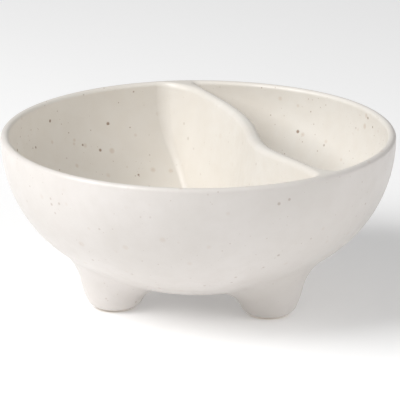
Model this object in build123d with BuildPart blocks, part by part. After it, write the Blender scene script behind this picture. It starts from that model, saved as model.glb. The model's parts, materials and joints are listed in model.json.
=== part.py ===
from build123d import *
from math import cos, pi, radians, sin, sqrt, tan
import os

# Chip and dip server: a three-footed round stoneware bowl with a wavy divider.
# Frame: millimetres, +Z up, origin on the table under the bowl's axis.
# +X points to the small dip compartment, +Y runs along the divider.

# Bowl
bowl_radius = 115.0
rim_height = 100.6
rim_thickness = 4.9
rim_round = rim_thickness / 2
rim_centre_z = rim_height - rim_round
side_centre_x = 37.0
outer_side_radius = bowl_radius - side_centre_x
inner_side_radius = outer_side_radius - rim_thickness
outer_bottom_z = 7.9
floor_thickness = 7.0
inner_bottom_z = outer_bottom_z + floor_thickness
inner_rim_radius = bowl_radius - rim_thickness
crown_radius = bowl_radius - rim_round

# Divider
divider_offset = 34.1
divider_top_width = 6.6
divider_chip_draft = 9.5
divider_dip_draft = 4.5
divider_flare = 9.4
divider_flare_start = 83.0
divider_flare_length = 25.0
divider_wave = 6.0
divider_wave_skew = 1.5
divider_span = 107.0
divider_reach = 110.0
divider_sag = 3.7
divider_sag_span = 98.0
divider_edge_round = 3.2
divider_steps = 12
divider_root_round = 4.5

# Feet
foot_circle_radius = 52.2
foot_base_radius = 13.6
foot_edge_round = 5.0
foot_top_radius = 21.5
foot_top_z = 32.0
foot_side_bulge = 2.2
foot_root_round = 8.5
foot_angles = {"foot_chip_side": 180.0, "foot_dip_front": -60.0, "foot_dip_back": 60.0}

# Room kept around the bowl while the divider is shaped
blank_radius = 126.0
blank_top_z = rim_height + 8.0


def cap_arc(side_radius, bottom_z):
    """Centre height and radius of the shallow bottom arc that meets the side arc smoothly."""
    drop = rim_centre_z - bottom_z - side_radius
    rise = (side_centre_x**2 - drop**2) / (2 * drop)
    return rim_centre_z + rise, rise + rim_centre_z - bottom_z


def meeting_point(centre_z, cap_radius):
    """Point where the bottom arc hands over to the side arc."""
    length = sqrt(side_centre_x**2 + (centre_z - rim_centre_z) ** 2)
    return (
        cap_radius * side_centre_x / length,
        centre_z - cap_radius * (centre_z - rim_centre_z) / length,
    )


def arc_middle(centre_x, centre_z, radius, start, end):
    """Point halfway along the shorter arc between two points of a circle."""
    x = (start[0] + end[0]) / 2 - centre_x
    z = (start[1] + end[1]) / 2 - centre_z
    scale = radius / sqrt(x * x + z * z)
    return (centre_x + x * scale, centre_z + z * scale)


outer_cap_z, outer_cap_radius = cap_arc(outer_side_radius, outer_bottom_z)
inner_cap_z, inner_cap_radius = cap_arc(inner_side_radius, inner_bottom_z)
outer_join = meeting_point(outer_cap_z, outer_cap_radius)
inner_join = meeting_point(inner_cap_z, inner_cap_radius)
outer_foot = (0.0, outer_bottom_z)
inner_foot = (0.0, inner_bottom_z)
outer_rim = (bowl_radius, rim_centre_z)
inner_rim = (inner_rim_radius, rim_centre_z)
outer_cap_middle = arc_middle(0.0, outer_cap_z, outer_cap_radius, outer_foot, outer_join)
inner_cap_middle = arc_middle(0.0, inner_cap_z, inner_cap_radius, inner_foot, inner_join)
outer_side_middle = arc_middle(
    side_centre_x, rim_centre_z, outer_side_radius, outer_join, outer_rim
)
inner_side_middle = arc_middle(
    side_centre_x, rim_centre_z, inner_side_radius, inner_join, inner_rim
)
rim_inner_middle = (
    crown_radius - rim_round * cos(pi / 4),
    rim_centre_z + rim_round * sin(pi / 4),
)


def divider_line(y, side, z):
    """X of one face of the divider at a station along it and a height.

    The faces spread downwards, and each swings out at one end: the face of the chip side at
    the back end, the face of the dip side at the front end.
    """
    wave = divider_wave * sin(pi * y / divider_span)
    skew = divider_wave_skew * sin(2 * pi * y / divider_span)
    draft = divider_dip_draft if side > 0 else divider_chip_draft
    past_start = max(-side * y - divider_flare_start, 0.0)
    flare = divider_flare * (past_start / divider_flare_length) ** 2
    half = divider_top_width / 2 + (rim_height - z) * tan(radians(draft)) + flare
    return divider_offset + wave + skew + side * half


def roof_z(y):
    """Height of the divider's top, which dips gently between the two ends."""
    return rim_height - divider_sag * (1 + cos(pi * y / divider_sag_span)) / 2


station_shares = [step / divider_steps for step in range(-divider_steps, divider_steps + 1)]
stations = [divider_reach * share for share in station_shares]
roof_stations = [divider_sag_span * share for share in station_shares]


def over_the_hollow(edge):
    """True for an edge that stays above the bowl's hollow."""
    spots = [edge.position_at(share) for share in (0.0, 0.5, 1.0)]
    return max(spot.X**2 + spot.Y**2 for spot in spots) < crown_radius**2


def foot_plane(angle):
    """Upright plane through the bowl's axis and a foot's axis, with its origin under the foot."""
    across = Vector(cos(radians(angle)), sin(radians(angle)), 0)
    return Plane(
        origin=across * foot_circle_radius,
        x_dir=across,
        z_dir=(across.Y, -across.X, 0),
    )


# Bowl: one shell with a full round rim, revolved
with BuildPart() as bowl:
    with BuildSketch(Plane.XZ):
        with BuildLine():
            ThreePointArc(outer_foot, outer_cap_middle, outer_join)
            ThreePointArc(outer_join, outer_side_middle, outer_rim)
            ThreePointArc(outer_rim, (crown_radius, rim_height), inner_rim)
            ThreePointArc(inner_rim, inner_side_middle, inner_join)
            ThreePointArc(inner_join, inner_cap_middle, inner_foot)
            Line(inner_foot, outer_foot)
        make_face()
    revolve(axis=Axis.Z)
bowl.part.label = "bowl"

# Divider: a wavy wall with a rounded top, drafted faces that swing out at one end each, and
# filleted roots. It is shaped in a solid block that has the bowl's hollow in it, then cut back
# to the bowl's inner surface
with BuildPart() as divider:
    with BuildSketch(Plane.XZ):
        with BuildLine():
            Polyline(
                inner_foot,
                (0.0, 0.0),
                (blank_radius, 0.0),
                (blank_radius, blank_top_z),
                (inner_rim_radius, blank_top_z),
                inner_rim,
            )
            ThreePointArc(inner_rim, inner_side_middle, inner_join)
            ThreePointArc(inner_join, inner_cap_middle, inner_foot)
        make_face()
    revolve(axis=Axis.Z)
    for height in (0.0, blank_top_z):
        with BuildSketch(Plane.XY.offset(height)):
            with BuildLine():
                dip_face = Spline([(divider_line(y, 1, height), y) for y in stations])
                chip_face = Spline([(divider_line(y, -1, height), y) for y in stations])
                Line(dip_face @ 0, chip_face @ 0)
                Line(dip_face @ 1, chip_face @ 1)
            make_face()
    loft(ruled=True)
    fillet(
        [edge for edge in edges(Select.NEW) if edge.center().Z < rim_height],
        radius=divider_root_round,
    )
    with BuildSketch(Plane.YZ.offset(-blank_radius - 5)):
        with BuildLine():
            saddle = Spline([(y, roof_z(y)) for y in roof_stations], tangents=[(1, 0), (1, 0)])
            Polyline(
                saddle @ 0,
                (-blank_radius, rim_height),
                (-blank_radius, blank_top_z + 5),
                (blank_radius, blank_top_z + 5),
                (blank_radius, rim_height),
                saddle @ 1,
            )
        make_face()
    extrude(amount=2 * blank_radius + 10, mode=Mode.SUBTRACT)
    fillet(
        [edge for edge in edges(Select.NEW) if over_the_hollow(edge)],
        radius=divider_edge_round,
    )
    with BuildSketch(Plane.XZ):
        with BuildLine():
            ThreePointArc(inner_foot, inner_cap_middle, inner_join)
            ThreePointArc(inner_join, inner_side_middle, inner_rim)
            ThreePointArc(inner_rim, rim_inner_middle, (crown_radius, rim_height))
            Polyline(
                (crown_radius, rim_height),
                (crown_radius, blank_top_z),
                (0.0, blank_top_z),
                inner_foot,
            )
        make_face()
    revolve(axis=Axis.Z, mode=Mode.INTERSECT)
divider.part.label = "divider"

# Feet: three stubby tapered feet with a flat contact pad and a flared root that follows the
# bowl's underside; the first stands on the chip side, the other two on the dip side
foot_chord = sqrt((foot_top_radius - foot_base_radius) ** 2 + foot_top_z**2)
foot_side_middle = (
    (foot_base_radius + foot_top_radius) / 2 + foot_side_bulge * foot_top_z / foot_chord,
    foot_top_z / 2 - foot_side_bulge * (foot_top_radius - foot_base_radius) / foot_chord,
)

with BuildPart() as bowl_outside:
    with BuildSketch(Plane.XZ):
        with BuildLine():
            ThreePointArc(outer_foot, outer_cap_middle, outer_join)
            ThreePointArc(outer_join, outer_side_middle, outer_rim)
            Polyline(outer_rim, (0.0, rim_centre_z), outer_foot)
        make_face()
    revolve(axis=Axis.Z)

feet = []
for foot_name, foot_angle in foot_angles.items():
    upright = foot_plane(foot_angle)
    with BuildPart() as foot:
        add(bowl_outside.part)
        with BuildSketch(upright):
            with BuildLine():
                side = ThreePointArc(
                    (foot_base_radius, 0.0), foot_side_middle, (foot_top_radius, foot_top_z)
                )
                Polyline(
                    side @ 1,
                    (foot_top_radius, rim_centre_z / 2),
                    (0.0, rim_centre_z / 2),
                    (0.0, 0.0),
                    side @ 0,
                )
            make_face()
            fillet(vertices().group_by(Axis.Y)[0].sort_by(Axis.X)[-1], radius=foot_edge_round)
        revolve(axis=Axis(upright.origin, (0, 0, 1)))
        fillet(edges(Select.NEW), radius=foot_root_round)
        add(bowl_outside.part, mode=Mode.SUBTRACT)
    foot.part.label = foot_name
    feet.append(foot.part)

os.makedirs("parts", exist_ok=True)
export_step(bowl.part, "parts/bowl.step")
export_step(divider.part, "parts/divider.step")
for foot_part in feet:
    export_step(foot_part, f"parts/{foot_part.label}.step")
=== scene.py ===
"""Chip and dip server: a three-footed stoneware bowl with a wavy divider, in satin speckled glaze.

The shapes are worked out in millimetres from distance formulas and handed to Blender in metres.
"""

import json
import math

import bpy
import numpy as np
import openvdb
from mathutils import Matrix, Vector


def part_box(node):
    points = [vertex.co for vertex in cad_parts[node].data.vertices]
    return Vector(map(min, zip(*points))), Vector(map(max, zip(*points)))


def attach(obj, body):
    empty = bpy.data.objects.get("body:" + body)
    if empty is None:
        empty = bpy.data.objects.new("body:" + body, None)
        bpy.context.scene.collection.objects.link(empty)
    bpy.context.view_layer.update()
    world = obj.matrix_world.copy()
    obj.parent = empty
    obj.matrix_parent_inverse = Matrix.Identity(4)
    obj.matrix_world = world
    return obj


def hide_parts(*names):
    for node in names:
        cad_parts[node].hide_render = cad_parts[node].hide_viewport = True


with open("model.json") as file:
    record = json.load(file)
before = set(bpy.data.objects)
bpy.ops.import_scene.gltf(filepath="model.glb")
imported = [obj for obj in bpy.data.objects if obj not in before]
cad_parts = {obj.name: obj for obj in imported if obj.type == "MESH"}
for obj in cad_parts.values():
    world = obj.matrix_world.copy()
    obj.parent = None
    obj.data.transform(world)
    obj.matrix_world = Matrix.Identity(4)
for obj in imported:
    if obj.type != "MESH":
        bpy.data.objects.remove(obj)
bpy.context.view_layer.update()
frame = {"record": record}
MM = 0.001
SUNK = 2.6  # how far the divider and feet reach into the bowl's wall

# ------------------------------------------------------------------ sizes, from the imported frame
bowl_low, bowl_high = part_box("bowl")
bowl_radius = (bowl_high[0] - bowl_low[0]) / 2 / MM
rim_height = bowl_high[2] / MM
outer_bottom_z = bowl_low[2] / MM

rim_round = 2.45
rim_centre_z = rim_height - rim_round
crown_radius = bowl_radius - rim_round
side_centre_x = 37.0
outer_side_radius = bowl_radius - side_centre_x
inner_side_radius = outer_side_radius - 2 * rim_round
inner_bottom_z = outer_bottom_z + 7.0

divider_offset = 34.1
divider_half = 3.3
divider_chip_draft = math.tan(math.radians(9.5))
divider_dip_draft = math.tan(math.radians(4.5))
divider_flare = 9.4
divider_flare_start = 83.0
divider_flare_length = 25.0
divider_wave = 6.0
divider_wave_skew = 1.5
divider_span = 107.0
divider_sag = 3.7
divider_sag_span = 98.0
divider_edge_round = 3.2
divider_root_round = (4.5, 3.0)  # at the rim, and from the depth below it downwards
divider_root_depth = 48.0

foot_circle_radius = 52.2
foot_base_radius = 13.6
foot_top = (21.5, 32.0)
foot_side_bulge = 2.2
foot_edge_round = 5.0
foot_root_round = 8.5
foot_angles = {"foot_chip_side": 180.0, "foot_dip_front": -60.0, "foot_dip_back": 60.0}


# ------------------------------------------------------------------ distance formulas, in mm
def cap_circle(side_radius, bottom_z):
    """Centre height and radius of the shallow bottom arc that meets the side arc smoothly."""
    drop = rim_centre_z - bottom_z - side_radius
    rise = (side_centre_x**2 - drop**2) / (2 * drop)
    return rim_centre_z + rise, rise + rim_centre_z - bottom_z


outer_cap_z, outer_cap_radius = cap_circle(outer_side_radius, outer_bottom_z)
inner_cap_z, inner_cap_radius = cap_circle(inner_side_radius, inner_bottom_z)


def egg(r, z, cap_z, cap_radius, side_radius):
    """Signed distance to the closed two-arc bowl outline, negative inside."""
    to_side = np.hypot(r - side_centre_x, z - rim_centre_z) - side_radius
    to_cap = np.hypot(r, z - cap_z) - cap_radius
    on_side = side_centre_x * (z - cap_z) - r * (rim_centre_z - cap_z) > 0
    return np.where(on_side, to_side, to_cap)


def bowl_distance(p):
    """Signed distance to the bowl's shell, negative in the clay."""
    r = np.hypot(p[:, 0], p[:, 1])
    z = p[:, 2]
    outer = egg(r, z, outer_cap_z, outer_cap_radius, outer_side_radius)
    inner = -egg(r, z, inner_cap_z, inner_cap_radius, inner_side_radius)
    rim = np.hypot(r - crown_radius, z - rim_centre_z) - rim_round
    return np.where(z > rim_centre_z, rim, np.maximum(outer, inner))


def outside_distance(p):
    """The bowl's filled outline."""
    r = np.hypot(p[:, 0], p[:, 1])
    return egg(r, p[:, 2], outer_cap_z, outer_cap_radius, outer_side_radius)


def divider_centre(y):
    """X of the divider's middle line, and how fast it changes along Y."""
    turn = math.pi / divider_span
    x = divider_wave * np.sin(turn * y) + divider_wave_skew * np.sin(2 * turn * y)
    slope = divider_wave * turn * np.cos(turn * y)
    slope = slope + 2 * divider_wave_skew * turn * np.cos(2 * turn * y)
    return divider_offset + x, slope


def divider_roof(y):
    """Height of the divider's top edge."""
    share = np.clip(np.abs(y) / divider_sag_span, 0, 1)
    return rim_height - divider_sag * (1 + np.cos(math.pi * share)) / 2


def end_flare(y):
    """How far one side of the divider swings out towards its end."""
    return divider_flare * (np.maximum(y - divider_flare_start, 0) / divider_flare_length) ** 2


def divider_sides(p):
    """Signed distance to the divider's two drafted sides, as if it had no top or bottom.
    The chip side swings out at the back end and the dip side at the front end."""
    centre, slope = divider_centre(p[:, 1])
    across = (p[:, 0] - centre) / np.sqrt(1 + slope**2)
    depth = rim_height - p[:, 2]
    chip = -across - divider_half - depth * divider_chip_draft - end_flare(p[:, 1])
    dip = across - divider_half - depth * divider_dip_draft - end_flare(-p[:, 1])
    return np.maximum(chip, dip)


def hollow(p):
    """Height of the clay's inner face above a point: positive in the bowl's hollow.
    Above the rim's middle the wall runs straight up, so that joints there stay level."""
    r = np.hypot(p[:, 0], p[:, 1])
    z = np.minimum(p[:, 2], rim_centre_z)
    return -egg(r, z, inner_cap_z, inner_cap_radius, inner_side_radius)


def blended(a, b, radius):
    """Union of two distances with a concave fillet of that radius where they meet."""
    fillet = np.hypot(np.maximum(radius - a, 0), np.maximum(radius - b, 0))
    return np.maximum(radius, np.minimum(a, b)) - fillet


def rounded(a, b, radius):
    """Intersection of two distances with a convex round of that radius where they meet."""
    corner = np.hypot(np.maximum(a + radius, 0), np.maximum(b + radius, 0))
    return np.minimum(-radius, np.maximum(a, b)) + corner


def root_round(p):
    """Radius of the concave joint between the divider and the bowl, wider near the rim."""
    share = np.clip((rim_height - p[:, 2]) / divider_root_depth, 0, 1)
    high, low = divider_root_round
    return high + (low - high) * np.sin(share * math.pi / 2)


def inside_distance(p):
    """The bowl's inner face with the divider grown out of it, under one rounded top edge."""
    sides = divider_sides(p)
    root = root_round(p)
    walls = blended(hollow(p), sides, root)
    near = np.clip(1 - sides / root, 0, 1)
    near = near * near * (3 - 2 * near)
    edge = rim_round + (divider_edge_round - rim_round) * near
    return rounded(walls, p[:, 2] - divider_roof(p[:, 1]), edge)


def divider_piece(p):
    """The divider alone: what its joint's clay covers, let a little into the bowl's wall."""
    r = np.hypot(p[:, 0], p[:, 1])
    rim = np.hypot(r - crown_radius, p[:, 2] - rim_centre_z) - rim_round
    outer = np.where(r > crown_radius, rim, -rim_round)
    low = egg(r, p[:, 2], inner_cap_z, inner_cap_radius, inner_side_radius) - SUNK
    reach = np.where(p[:, 2] > rim_centre_z, outer, np.maximum(low, r - crown_radius - rim_round))
    piece = np.maximum(inside_distance(p), divider_sides(p) - root_round(p))
    return np.maximum(piece, reach)


def foot_outline():
    """Circle of the foot's bulging side: its centre's radius and height, and its radius."""
    run = foot_top[0] - foot_base_radius
    chord = math.hypot(run, foot_top[1])
    radius = (chord**2 / 4 + foot_side_bulge**2) / (2 * foot_side_bulge)
    back = radius - foot_side_bulge
    middle = ((foot_base_radius + foot_top[0]) / 2, foot_top[1] / 2)
    return middle[0] - back * foot_top[1] / chord, middle[1] + back * run / chord, radius


side_x, side_z, side_radius = foot_outline()


def foot_distance(p, angle):
    """Signed distance to one foot without its root, negative in the clay."""
    x = p[:, 0] - foot_circle_radius * math.cos(math.radians(angle))
    y = p[:, 1] - foot_circle_radius * math.sin(math.radians(angle))
    side = np.hypot(np.hypot(x, y) - side_x, p[:, 2] - side_z) - side_radius
    base = -p[:, 2]
    corner = np.hypot(np.maximum(side + foot_edge_round, 0), np.maximum(base + foot_edge_round, 0))
    return np.minimum(-foot_edge_round, np.maximum(side, base)) + corner


def footed_distance(p, angle):
    """The bowl's outline with one foot grown out of it."""
    return blended(outside_distance(p), foot_distance(p, angle), foot_root_round)


def foot_piece(p, angle):
    """One foot alone, let a little into the bowl's wall."""
    bowl = outside_distance(p)
    foot = foot_distance(p, angle)
    piece = np.maximum(blended(bowl, foot, foot_root_round), foot - foot_root_round)
    return np.maximum(piece, -bowl - SUNK)


def gradient(distance, p):
    """Direction in which a distance grows fastest, by small differences."""
    step = 0.02
    rise = []
    for axis in range(3):
        shift = np.zeros(3)
        shift[axis] = step
        rise.append((distance(p + shift) - distance(p - shift)) / (2 * step))
    return np.stack(rise, axis=1)


def settle(distance, p, rounds):
    """Moves points onto the surface where the distance is zero."""
    for _ in range(rounds):
        slope = gradient(distance, p)
        size = np.maximum((slope**2).sum(axis=1), 0.2)
        p = p - (distance(p) / size)[:, None] * slope
    return p


def uneven(p):
    """The slight hand-made waver of the clay, a smooth shift of every point."""
    x, y, z = p[:, 0], p[:, 1], p[:, 2]
    turn = np.arctan2(y, x)
    share = np.clip(z / rim_height, 0, 1)
    out = 0.16 * np.sin(2 * turn + 0.7) + 0.09 * np.sin(3 * turn + 2.1) + 0.05 * np.sin(7 * turn)
    out = out * share
    up = (0.12 * np.sin(2 * turn + 1.9) + 0.08 * np.sin(5 * turn + 0.4)) * share**3
    r = np.maximum(np.hypot(x, y), 1.0)
    fade = np.clip(r / 40, 0, 1)
    return p + np.stack([out * x / r * fade, out * y / r * fade, up * fade], axis=1)


def inner_share(p):
    """1 on the bowl's inner side, 0 on its outer side, fading over the rim."""
    r = np.hypot(p[:, 0], p[:, 1])
    low = egg(r, np.minimum(p[:, 2], rim_centre_z), outer_cap_z, outer_cap_radius, outer_side_radius)
    share = np.clip(-low / (2 * rim_round), 0, 1)
    return share * share * (3 - 2 * share)


# ------------------------------------------------------------------ meshes
def build_object(name, points, faces, normals):
    """A smooth mesh object from points in mm, with its exact surface normals.
    Each point also carries how far it is on the bowl's inner side, from 0 to 1."""
    mesh = bpy.data.meshes.new(name)
    mesh.from_pydata((uneven(points) * MM).tolist(), [], faces)
    inside = mesh.attributes.new("inside", "FLOAT", "POINT")
    inside.data.foreach_set("value", inner_share(points).astype(np.float32))
    mesh.shade_smooth()
    mesh.normals_split_custom_set_from_vertices(normals.tolist())
    obj = bpy.data.objects.new(name, mesh)
    bpy.context.scene.collection.objects.link(obj)
    return obj


def unit(v):
    """Vectors scaled to length one."""
    return v / np.maximum(np.linalg.norm(v, axis=1), 1e-9)[:, None]


def arc(centre, radius, start, end, steps):
    """Points along a circle in the (r, z) plane, from one angle in degrees to another."""
    angles = np.radians(np.linspace(start, end, steps + 1))
    return np.stack([centre[0] + radius * np.cos(angles), centre[1] + radius * np.sin(angles)], 1)


def bowl_mesh():
    """The bowl: its closed outline, turned about the axis."""
    side = (side_centre_x, rim_centre_z)
    out_join = math.degrees(math.atan2(rim_centre_z - outer_cap_z, side_centre_x))
    in_join = math.degrees(math.atan2(rim_centre_z - inner_cap_z, side_centre_x))
    outline = np.concatenate(
        [
            arc((0, outer_cap_z), outer_cap_radius, -90, out_join, 34)[1:-1],
            arc(side, outer_side_radius, out_join, 0, 36)[:-1],
            arc((crown_radius, rim_centre_z), rim_round, 0, 180, 16)[:-1],
            arc(side, inner_side_radius, 0, in_join, 36)[:-1],
            arc((0, inner_cap_z), inner_cap_radius, in_join, -90, 34)[:-1],
        ]
    )
    turns = 320
    angles = np.linspace(0, 2 * math.pi, turns, endpoint=False)
    rows = len(outline)
    points = np.empty((rows * turns + 2, 3))
    for row, (r, z) in enumerate(outline):
        part = points[row * turns : (row + 1) * turns]
        part[:, 0] = r * np.cos(angles)
        part[:, 1] = r * np.sin(angles)
        part[:, 2] = z
    under, inside = rows * turns, rows * turns + 1
    points[under] = (0, 0, outer_bottom_z)
    points[inside] = (0, 0, inner_bottom_z)
    faces = []
    for row in range(rows - 1):
        for k in range(turns):
            n = (k + 1) % turns
            faces.append(
                (row * turns + k, row * turns + n, (row + 1) * turns + n, (row + 1) * turns + k)
            )
    for k in range(turns):
        n = (k + 1) % turns
        faces.append((under, n, k))
        faces.append((inside, (rows - 1) * turns + k, (rows - 1) * turns + n))
    normals = unit(gradient(bowl_distance, points))
    return build_object("bowl_glazed", points, faces, normals)


def skin(name, piece, shown, low, high, pitch):
    """A closed mesh of the solid where piece() is negative, between two corners.
    Points on the shown surface are set exactly on it and take its normal."""
    low = np.array(low, float) - 2 * pitch
    count = np.ceil((np.array(high, float) + 2 * pitch - low) / pitch).astype(int) + 1
    axes = [low[k] + pitch * np.arange(count[k]) for k in range(3)]
    cells = np.empty(tuple(count), dtype=np.float32)
    for i, x in enumerate(axes[0]):
        y, z = np.meshgrid(axes[1], axes[2], indexing="ij")
        p = np.stack([np.full(y.size, x), y.ravel(), z.ravel()], axis=1)
        cells[i] = piece(p).reshape(y.shape)
    grid = openvdb.FloatGrid(3 * pitch)
    grid.copyFromArray(np.clip(cells, -3 * pitch, 3 * pitch))
    points, quads = grid.convertToQuads(isovalue=0.0)
    points = low + pitch * np.array(points, float)
    quads = np.array(quads)
    close = np.abs(shown(points)) < 0.6 * pitch
    near = settle(piece, points, 3)
    moved = np.linalg.norm(near - points, axis=1)
    points = np.where((moved < 0.8 * pitch)[:, None], near, points)
    normals = unit(gradient(piece, points))
    on_top = close & (np.abs(shown(points)) < 0.1)
    points[on_top] = settle(shown, points[on_top], 2)
    normals[on_top] = unit(gradient(shown, points[on_top]))
    return build_object(name, points, quads.tolist(), normals)


def divider_mesh():
    """The divider with its filleted roots."""
    low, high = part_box("divider")
    margin = np.array([2.0, 4.0, 3.0])
    return skin(
        "divider_glazed",
        divider_piece,
        inside_distance,
        np.array(low) / MM - margin,
        np.array(high) / MM + margin,
        1.0,
    )


def foot_mesh(node):
    """One foot with its flared root."""
    angle = foot_angles[node]
    low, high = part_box(node)
    return skin(
        node + "_glazed",
        lambda p: foot_piece(p, angle),
        lambda p: footed_distance(p, angle),
        np.array(low) / MM - 2.0,
        np.array(high) / MM + np.array([2.0, 2.0, 3.0]),
        0.9,
    )


pieces = {"bowl": bowl_mesh(), "divider": divider_mesh()}
for foot_name in foot_angles:
    pieces[foot_name] = foot_mesh(foot_name)
for node, piece in pieces.items():
    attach(piece, "root")
    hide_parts(node)


# ------------------------------------------------------------------ materials
def srgb(r, g, b):
    """Linear colour from 0-255 screen values."""
    out = []
    for value in (r, g, b):
        value = value / 255
        out.append(value / 12.92 if value <= 0.04045 else ((value + 0.055) / 1.055) ** 2.4)
    return (*out, 1.0)


class Nodes:
    """Short names for adding and joining shader nodes."""

    def __init__(self, material):
        self.tree = material.node_tree

    def add(self, kind, **values):
        node = self.tree.nodes.new(kind)
        for key, value in values.items():
            setattr(node, key, value)
        return node

    def join(self, source, target):
        self.tree.links.new(source, target)

    def math(self, operation, a, b=None, clamp=False):
        node = self.add("ShaderNodeMath", operation=operation, use_clamp=clamp)
        for socket, value in zip(node.inputs, (a, b)):
            if value is None:
                continue
            if isinstance(value, (int, float)):
                socket.default_value = value
            else:
                self.join(value, socket)
        return node.outputs[0]

    def step(self, value, low, high, start=0.0, end=1.0):
        node = self.add("ShaderNodeMapRange", interpolation_type="SMOOTHSTEP")
        self.join(value, node.inputs["Value"])
        node.inputs["From Min"].default_value = low
        node.inputs["From Max"].default_value = high
        node.inputs["To Min"].default_value = start
        node.inputs["To Max"].default_value = end
        return node.outputs["Result"]

    def noise(self, where, scale, detail=2.0, roughness=0.5):
        node = self.add("ShaderNodeTexNoise", noise_dimensions="3D")
        self.join(where, node.inputs["Vector"])
        node.inputs["Scale"].default_value = scale
        node.inputs["Detail"].default_value = detail
        node.inputs["Roughness"].default_value = roughness
        return node.outputs["Fac"]

    def blend(self, factor, a, b):
        node = self.add("ShaderNodeMix", data_type="RGBA")
        self.join(factor, node.inputs["Factor"])
        for socket, value in zip(("A", "B"), (a, b)):
            target = [s for s in node.inputs if s.name == socket and s.type == "RGBA"][0]
            if isinstance(value, tuple):
                target.default_value = value
            else:
                self.join(value, target)
        return [s for s in node.outputs if s.type == "RGBA"][0]


def speck_layer(n, where, scale, radius, share, offset):
    """Small round spots: 1 in a spot, 0 elsewhere. Their sizes vary from spot to spot."""
    moved = n.add("ShaderNodeVectorMath", operation="ADD")
    n.join(where, moved.inputs[0])
    moved.inputs[1].default_value = offset
    cells = n.add("ShaderNodeTexVoronoi", voronoi_dimensions="3D", feature="F1")
    n.join(moved.outputs[0], cells.inputs["Vector"])
    cells.inputs["Scale"].default_value = scale
    pick = n.add("ShaderNodeSeparateColor")
    n.join(cells.outputs["Color"], pick.inputs[0])
    wanted = n.step(pick.outputs[0], share - 0.02, share + 0.02, 1.0, 0.0)
    size = n.math("MULTIPLY", n.math("POWER", pick.outputs[1], 1.6), radius * scale)
    size = n.math("ADD", size, 0.3 * radius * scale)
    edge = n.math("SUBTRACT", size, cells.outputs["Distance"])
    spot = n.math("DIVIDE", edge, 0.6 * radius * scale, clamp=True)
    return n.math("MULTIPLY", spot, wanted)


# Each kind of speck: cells per metre, largest radius in metres, share of the cells with a speck,
# shift of the pattern, how much of the glaze it covers, and its screen colour
SPECKS = {
    "faint": (120.0, 0.0019, 0.45, (0.91, 0.55, 0.77), 0.3, (184, 154, 122)),
    "small": (330.0, 0.00045, 0.5, (0.4, 0.13, 0.31), 0.6, (146, 114, 84)),
    "large": (150.0, 0.00105, 0.55, (0.0131, 0.027, 0.011), 0.8, (136, 104, 76)),
}
outside_speckle = 0.45  # how strongly the specks show outside, next to 1 in the hollow


def glaze(name, speckle, bare_pad=False):
    """Satin cream stoneware glaze with iron specks, slightly uneven in tone and gloss. The hollow is
    painted lighter and warmer as painted bounce light, and the outside darker as painted shade, on
    one glaze.
    """
    material = bpy.data.materials.new(name)
    material.use_nodes = True
    n = Nodes(material)
    shader = material.node_tree.nodes["Principled BSDF"]
    where = n.add("ShaderNodeTexCoord").outputs["Object"]
    cloud = n.noise(where, 14.0, 3.0)
    mottle = n.noise(where, 90.0, 3.0, 0.6)
    grain = n.noise(where, 700.0, 2.0, 0.6)
    inside = n.add("ShaderNodeAttribute", attribute_name="inside").outputs["Fac"]
    # Painted light: the inner side gets a lighter, warmer tone that stands in for bounce light in
    # the hollow, and the outer side a darker tone that stands in for shade; both are one and the
    # same glaze
    inside_tone_with_painted_bounce = n.blend(n.step(cloud, 0.35, 0.65), srgb(234, 230, 223), srgb(230, 225, 217))
    inside_tone_with_painted_bounce = n.blend(n.step(mottle, 0.3, 0.75, 0.0, 0.35), inside_tone_with_painted_bounce, srgb(224, 217, 206))
    outside_tone_with_painted_shade = n.blend(n.step(cloud, 0.35, 0.65), srgb(224, 219, 215), srgb(219, 214, 209))
    outside_tone_with_painted_shade = n.blend(n.step(mottle, 0.3, 0.75, 0.0, 0.35), outside_tone_with_painted_shade, srgb(213, 207, 201))
    base = n.blend(inside, outside_tone_with_painted_shade, inside_tone_with_painted_bounce)
    specks = {}
    for kind, (scale, radius, share, offset, _, _) in SPECKS.items():
        specks[kind] = speck_layer(n, where, scale, radius, share, offset)
    shown = n.step(inside, 0.0, 1.0, outside_speckle * speckle, speckle)
    for kind, (_, _, _, _, strength, colour) in SPECKS.items():
        cover = n.math("MULTIPLY", specks[kind], n.math("MULTIPLY", shown, strength))
        base = n.blend(cover, base, srgb(*colour))
    rough = n.step(mottle, 0.3, 0.7, 0.34, 0.42)
    if bare_pad:
        height = n.add("ShaderNodeSeparateXYZ")
        n.join(where, height.inputs[0])
        wander = n.math("MULTIPLY", n.math("SUBTRACT", mottle, 0.5), 0.0012)
        level = n.math("ADD", height.outputs[2], wander)
        bare = n.step(level, 0.0006, 0.0011, 1.0, 0.0)
        clay = n.blend(n.step(grain, 0.35, 0.65), srgb(214, 196, 168), srgb(194, 172, 140))
        base = n.blend(bare, base, clay)
        rough = n.math("ADD", rough, n.math("MULTIPLY", bare, 0.45), clamp=True)
    n.join(base, shader.inputs["Base Color"])
    n.join(rough, shader.inputs["Roughness"])
    shader.inputs["IOR"].default_value = 1.5
    waves = n.noise(where, 45.0, 2.0, 0.5)
    relief = n.math("ADD", waves, n.math("MULTIPLY", mottle, 0.25))
    relief = n.math("ADD", relief, n.math("MULTIPLY", grain, 0.03))
    relief = n.math("SUBTRACT", relief, n.math("MULTIPLY", specks["large"], 0.12))
    bump = n.add("ShaderNodeBump")
    bump.inputs["Strength"].default_value = 0.35
    bump.inputs["Distance"].default_value = 0.0006
    n.join(relief, bump.inputs["Height"])
    n.join(bump.outputs["Normal"], shader.inputs["Normal"])
    return material


slots = {entry["node"]: entry["material_slot"] for entry in frame["record"]["subparts"]}
finishes = {
    "bowl_glaze": glaze("bowl_glaze", 1.0),
    "divider_glaze": glaze("divider_glaze", 0.25),
    "foot_glaze": glaze("foot_glaze", 0.9, bare_pad=True),
}
for node, piece in pieces.items():
    piece.data.materials.append(finishes[slots[node]])


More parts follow.
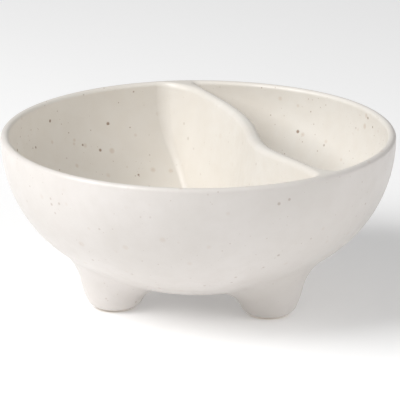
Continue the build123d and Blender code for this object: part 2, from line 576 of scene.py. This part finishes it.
# ------------------------------------------------------------------ room, light and camera
def stage_floor():
    """A plain pale floor, wide enough to fill the view."""
    reach = 6.0
    corners = [(-reach, -reach, 0), (reach, -reach, 0), (reach, reach, 0), (-reach, reach, 0)]
    mesh = bpy.data.meshes.new("floor")
    mesh.from_pydata(corners, [], [(0, 1, 2, 3)])
    obj = bpy.data.objects.new("floor", mesh)
    bpy.context.scene.collection.objects.link(obj)
    material = bpy.data.materials.new("floor_paint")
    material.use_nodes = True
    n = Nodes(material)
    shader = material.node_tree.nodes["Principled BSDF"]
    where = n.add("ShaderNodeTexCoord").outputs["Object"]
    tone = n.blend(n.noise(where, 3.0), (0.88, 0.88, 0.88, 1), (0.9, 0.9, 0.9, 1))
    shader.inputs["Emission Color"].default_value = (1, 1, 1, 1)
    shader.inputs["Emission Strength"].default_value = 0.19
    n.join(tone, shader.inputs["Base Color"])
    shader.inputs["Roughness"].default_value = 0.9
    mesh.materials.append(material)
    return obj


stage_floor()

view_azimuth, view_elevation = -21.6, 17.15
camera_distance = 20 * bowl_radius * MM
pivot_height = (rim_height - 0.362 * bowl_radius) * MM  # the middle of the view
light_distance, light_size = 1.8, 1.2
bowl_middle = 0.06


def around(azimuth, elevation, distance, centre):
    """A point round the object: azimuth 0 is in front, positive towards +X."""
    a, e = math.radians(azimuth), math.radians(elevation)
    return centre + distance * Vector(
        (math.sin(a) * math.cos(e), -math.cos(a) * math.cos(e), math.sin(e))
    )


def area_light(name, azimuth, elevation, power):
    """A square soft light that faces the bowl."""
    light = bpy.data.lights.new(name, "AREA")
    light.shape = "SQUARE"
    light.size = light_size
    light.energy = power
    obj = bpy.data.objects.new(name, light)
    target = Vector((0, 0, bowl_middle))
    obj.location = around(azimuth, elevation, light_distance, target)
    obj.rotation_euler = (target - obj.location).to_track_quat("-Z", "Y").to_euler()
    bpy.context.scene.collection.objects.link(obj)


area_light("key", view_azimuth - 66, 43, 32.5)
area_light("fill", view_azimuth + 60, 20, 8.5)

world = bpy.data.worlds.new("room")
bpy.context.scene.world = world
world.use_nodes = True
world.node_tree.nodes["Background"].inputs["Color"].default_value = (1, 1, 1, 1)
world.node_tree.nodes["Background"].inputs["Strength"].default_value = 0.27

bpy.context.scene.view_settings.view_transform = "Standard"

lens = bpy.data.cameras.new("camera")
lens.sensor_width = 36.0
lens.lens = 354.0
lens.clip_end = 50.0
camera = bpy.data.objects.new("camera", lens)
pivot = Vector((0, 0, pivot_height))
camera.location = around(view_azimuth, view_elevation, camera_distance, pivot)
camera.rotation_euler = (pivot - camera.location).to_track_quat("-Z", "Y").to_euler()
lens.shift_x = 0.00425
bpy.context.scene.collection.objects.link(camera)
bpy.context.scene.camera = camera
